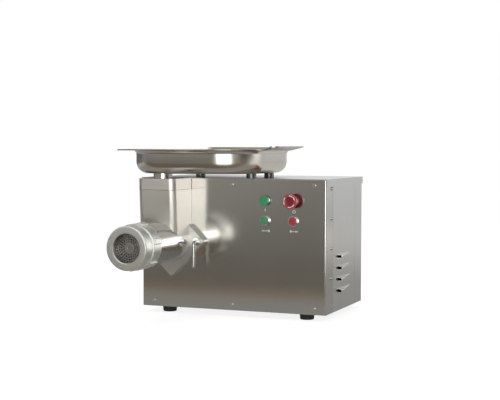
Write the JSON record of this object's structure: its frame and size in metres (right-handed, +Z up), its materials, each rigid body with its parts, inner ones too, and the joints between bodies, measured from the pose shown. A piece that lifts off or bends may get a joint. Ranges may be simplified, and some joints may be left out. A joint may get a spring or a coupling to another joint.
{
  "type": "electric meat grinder",
  "caption": "Bench-top electric meat grinder: steel box housing, offset barrel head with perforated plate and ring nut, throat column, feed tray and push buttons.",
  "frame": {"origin": "centre of the bounding box in plan, at the surface that the rubber feet stand on", "axes": "+X to the right as seen from the front, +Y to the back (the head points to -Y), +Z up"},
  "size_m": [0.605, 0.655, 0.4758],
  "materials": {
    "panel_steel": "satin stainless sheet",
    "mirror_steel": "polished stainless sheet",
    "head_steel": "polished casting",
    "nut_steel": "satin machined",
    "tray_steel": "polished stainless sheet",
    "screw_steel": "bright",
    "dark_steel": "dark enamel",
    "grey_cast": "grey casting",
    "bearing_steel": "ground",
    "gear_bronze": "machined bronze",
    "rubber_black": "matte",
    "black_plastic": "matte",
    "cream_plastic": "matte",
    "green_plastic": "glossy",
    "red_plastic": "glossy",
    "stator_steel": "varnished laminations"
  },
  "bodies": {
    "housing": {"base_pan": "panel_steel", "inner_frame": "dark_steel", "front_panel": "mirror_steel", "rear_panel": "panel_steel", "left_panel": "panel_steel", "right_panel": "panel_steel", "top_cover": "panel_steel", "front_panel_screws": "screw_steel", "rear_panel_screws": "screw_steel", "side_panel_screws": "screw_steel", "rubber_feet": "rubber_black", "foot_bolts": "screw_steel", "cable_gland": "black_plastic", "gland_nut": "black_plastic", "head_flange": "head_steel", "flange_bolts": "dark_steel", "clamp_shoe": "gear_bronze", "locating_pin": "screw_steel", "tray_posts": "dark_steel", "gearbox_cover": "grey_cast", "gearbox_housing": "grey_cast", "drive_bolts": "dark_steel", "drive_stand": "dark_steel", "shaft_seal": "rubber_black", "output_bearings": "bearing_steel", "layshaft_bearings": "bearing_steel", "motor_stator": "stator_steel", "motor_casing": "grey_cast", "motor_front_bell": "grey_cast", "motor_rear_bell": "grey_cast", "motor_bearings": "bearing_steel", "fan_cowl": "dark_steel", "motor_cradle": "dark_steel", "start_bezel": "screw_steel", "estop_bezel": "black_plastic", "direction_bezels": "screw_steel", "contact_blocks": "cream_plastic"},
    "head": {"grinder_body": "head_steel", "throat_shroud": "head_steel", "throat_collar": "head_steel", "head_bushing": "gear_bronze"},
    "tray": {"feed_tray": "tray_steel"},
    "worm": {"auger": "head_steel", "knife": "head_steel"},
    "plate": {"perforated_plate": "nut_steel"},
    "nut": {"ring_nut": "nut_steel"},
    "clamp": {"clamp_handle": "screw_steel"},
    "output": {"output_shaft": "bearing_steel", "output_gear": "gear_bronze"},
    "countershaft": {"layshaft": "bearing_steel", "layshaft_gear": "gear_bronze"},
    "rotor": {"motor_shaft": "bearing_steel", "motor_rotor": "bearing_steel", "motor_pinion": "bearing_steel", "cooling_fan": "black_plastic"},
    "start": {"start_button": "green_plastic"},
    "estop_push": {"estop_stem": "black_plastic"},
    "estop_turn": {"estop_head": "red_plastic"},
    "forward": {"forward_button": "green_plastic"},
    "reverse": {"reverse_button": "red_plastic"}
  },
  "joints": [
    {"name": "head_release", "type": "slide", "parent": "housing", "child": "head", "axis": [0, -1, 0], "range_m": [0, 0.12]},
    {"name": "tray_lift", "type": "slide", "parent": "head", "child": "tray", "axis": [0, 0, 1], "range_m": [0, 0.12]},
    {"name": "worm_spin", "type": "hinge", "parent": "head", "child": "worm", "pos_m": [-0.1605, -0.0365, 0.208], "axis": [0, 1, 0], "continuous": true},
    {"name": "plate_travel", "type": "slide", "parent": "head", "child": "plate", "axis": [0, -1, 0], "range_m": [0, 0.024]},
    {"name": "nut_turn", "type": "hinge", "parent": "plate", "child": "nut", "pos_m": [-0.1605, -0.0365, 0.208], "axis": [0, -1, 0], "range_deg": [0, 1440]},
    {"name": "clamp_turn", "type": "hinge", "parent": "housing", "child": "clamp", "pos_m": [-0.0805, -0.0565, 0.208], "axis": [0, -1, 0], "range_deg": [0, 170]},
    {"name": "output_spin", "type": "hinge", "parent": "housing", "child": "output", "pos_m": [-0.1605, -0.0365, 0.208], "axis": [0, 1, 0], "continuous": true},
    {"name": "countershaft_spin", "type": "hinge", "parent": "housing", "child": "countershaft", "pos_m": [-0.0735, -0.0365, 0.208], "axis": [0, 1, 0], "continuous": true},
    {"name": "rotor_spin", "type": "hinge", "parent": "housing", "child": "rotor", "pos_m": [-0.00475, -0.0365, 0.208], "axis": [0, 1, 0], "continuous": true},
    {"name": "start_push", "type": "slide", "parent": "housing", "child": "start", "axis": [0, 1, 0], "range_m": [0, 0.0035], "stiffness_N_per_m": 400, "springref_m": -0.005},
    {"name": "estop_press", "type": "slide", "parent": "housing", "child": "estop_push", "axis": [0, 1, 0], "range_m": [0, 0.005]},
    {"name": "estop_twist", "type": "hinge", "parent": "estop_push", "child": "estop_turn", "pos_m": [0.1975, -0.0365, 0.326], "axis": [0, 1, 0], "range_deg": [0, 35], "stiffness_Nm_per_rad": 0.02},
    {"name": "forward_push", "type": "slide", "parent": "housing", "child": "forward", "axis": [0, 1, 0], "range_m": [0, 0.0035], "stiffness_N_per_m": 400, "springref_m": -0.005},
    {"name": "reverse_push", "type": "slide", "parent": "housing", "child": "reverse", "axis": [0, 1, 0], "range_m": [0, 0.0035], "stiffness_N_per_m": 400, "springref_m": -0.005}
  ],
  "couplings": [
    {"joint": "countershaft_spin", "follows": "output_spin", "ratio": -2.625},
    {"joint": "rotor_spin", "follows": "output_spin", "ratio": 7},
    {"joint": "worm_spin", "follows": "output_spin", "ratio": 1},
    {"joint": "plate_travel", "follows": "nut_turn", "m_per_rad": 0.00095493}
  ]
}
